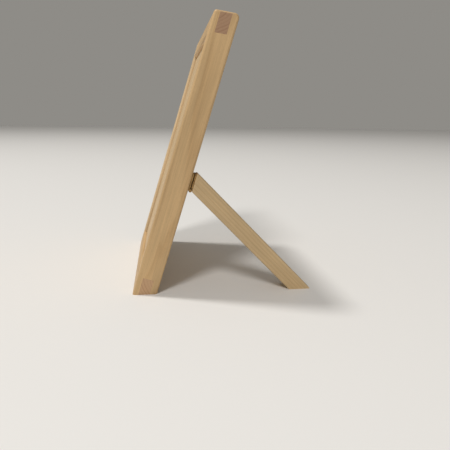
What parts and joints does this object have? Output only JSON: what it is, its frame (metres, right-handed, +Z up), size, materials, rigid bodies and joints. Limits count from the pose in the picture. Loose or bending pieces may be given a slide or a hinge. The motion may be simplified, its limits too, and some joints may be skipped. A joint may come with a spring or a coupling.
{
  "type": "tabletop easel",
  "caption": "Tabletop wooden easel: a framed panel that leans back on one rear leg, which folds flat behind it on a butt hinge.",
  "frame": {"origin": "middle of the whole object's footprint, on the surface that it stands on", "axes": "+X along the frame's width, towards the side that has the leg; the front faces -Y and the leg stands behind at +Y; +Z up"},
  "size_m": [0.145, 0.1284, 0.1875],
  "materials": {
    "frame_wood": "bare sanded softwood, straight grain",
    "panel_wood": "bare sanded plywood",
    "leg_wood": "bare sanded softwood, straight grain",
    "hinge_brass": "dull, slightly tarnished",
    "screw_brass": "dull, slightly tarnished"
  },
  "bodies": {
    "frame": {"stile_right": "frame_wood", "stile_left": "frame_wood", "top_rail": "frame_wood", "bottom_rail": "frame_wood", "display_panel": "panel_wood", "hinge_frame_leaf": "hinge_brass", "hinge_pin": "hinge_brass", "hinge_frame_screws": "screw_brass"},
    "leg": {"leg": "leg_wood", "hinge_leg_leaf": "hinge_brass", "hinge_leg_screws": "screw_brass"}
  },
  "joints": [
    {"name": "leg_hinge", "type": "hinge", "parent": "frame", "child": "leg", "pos_m": [0.0655, -0.02356, 0.07319], "axis": [-1, 0, 0], "range_deg": [0, 61]}
  ]
}
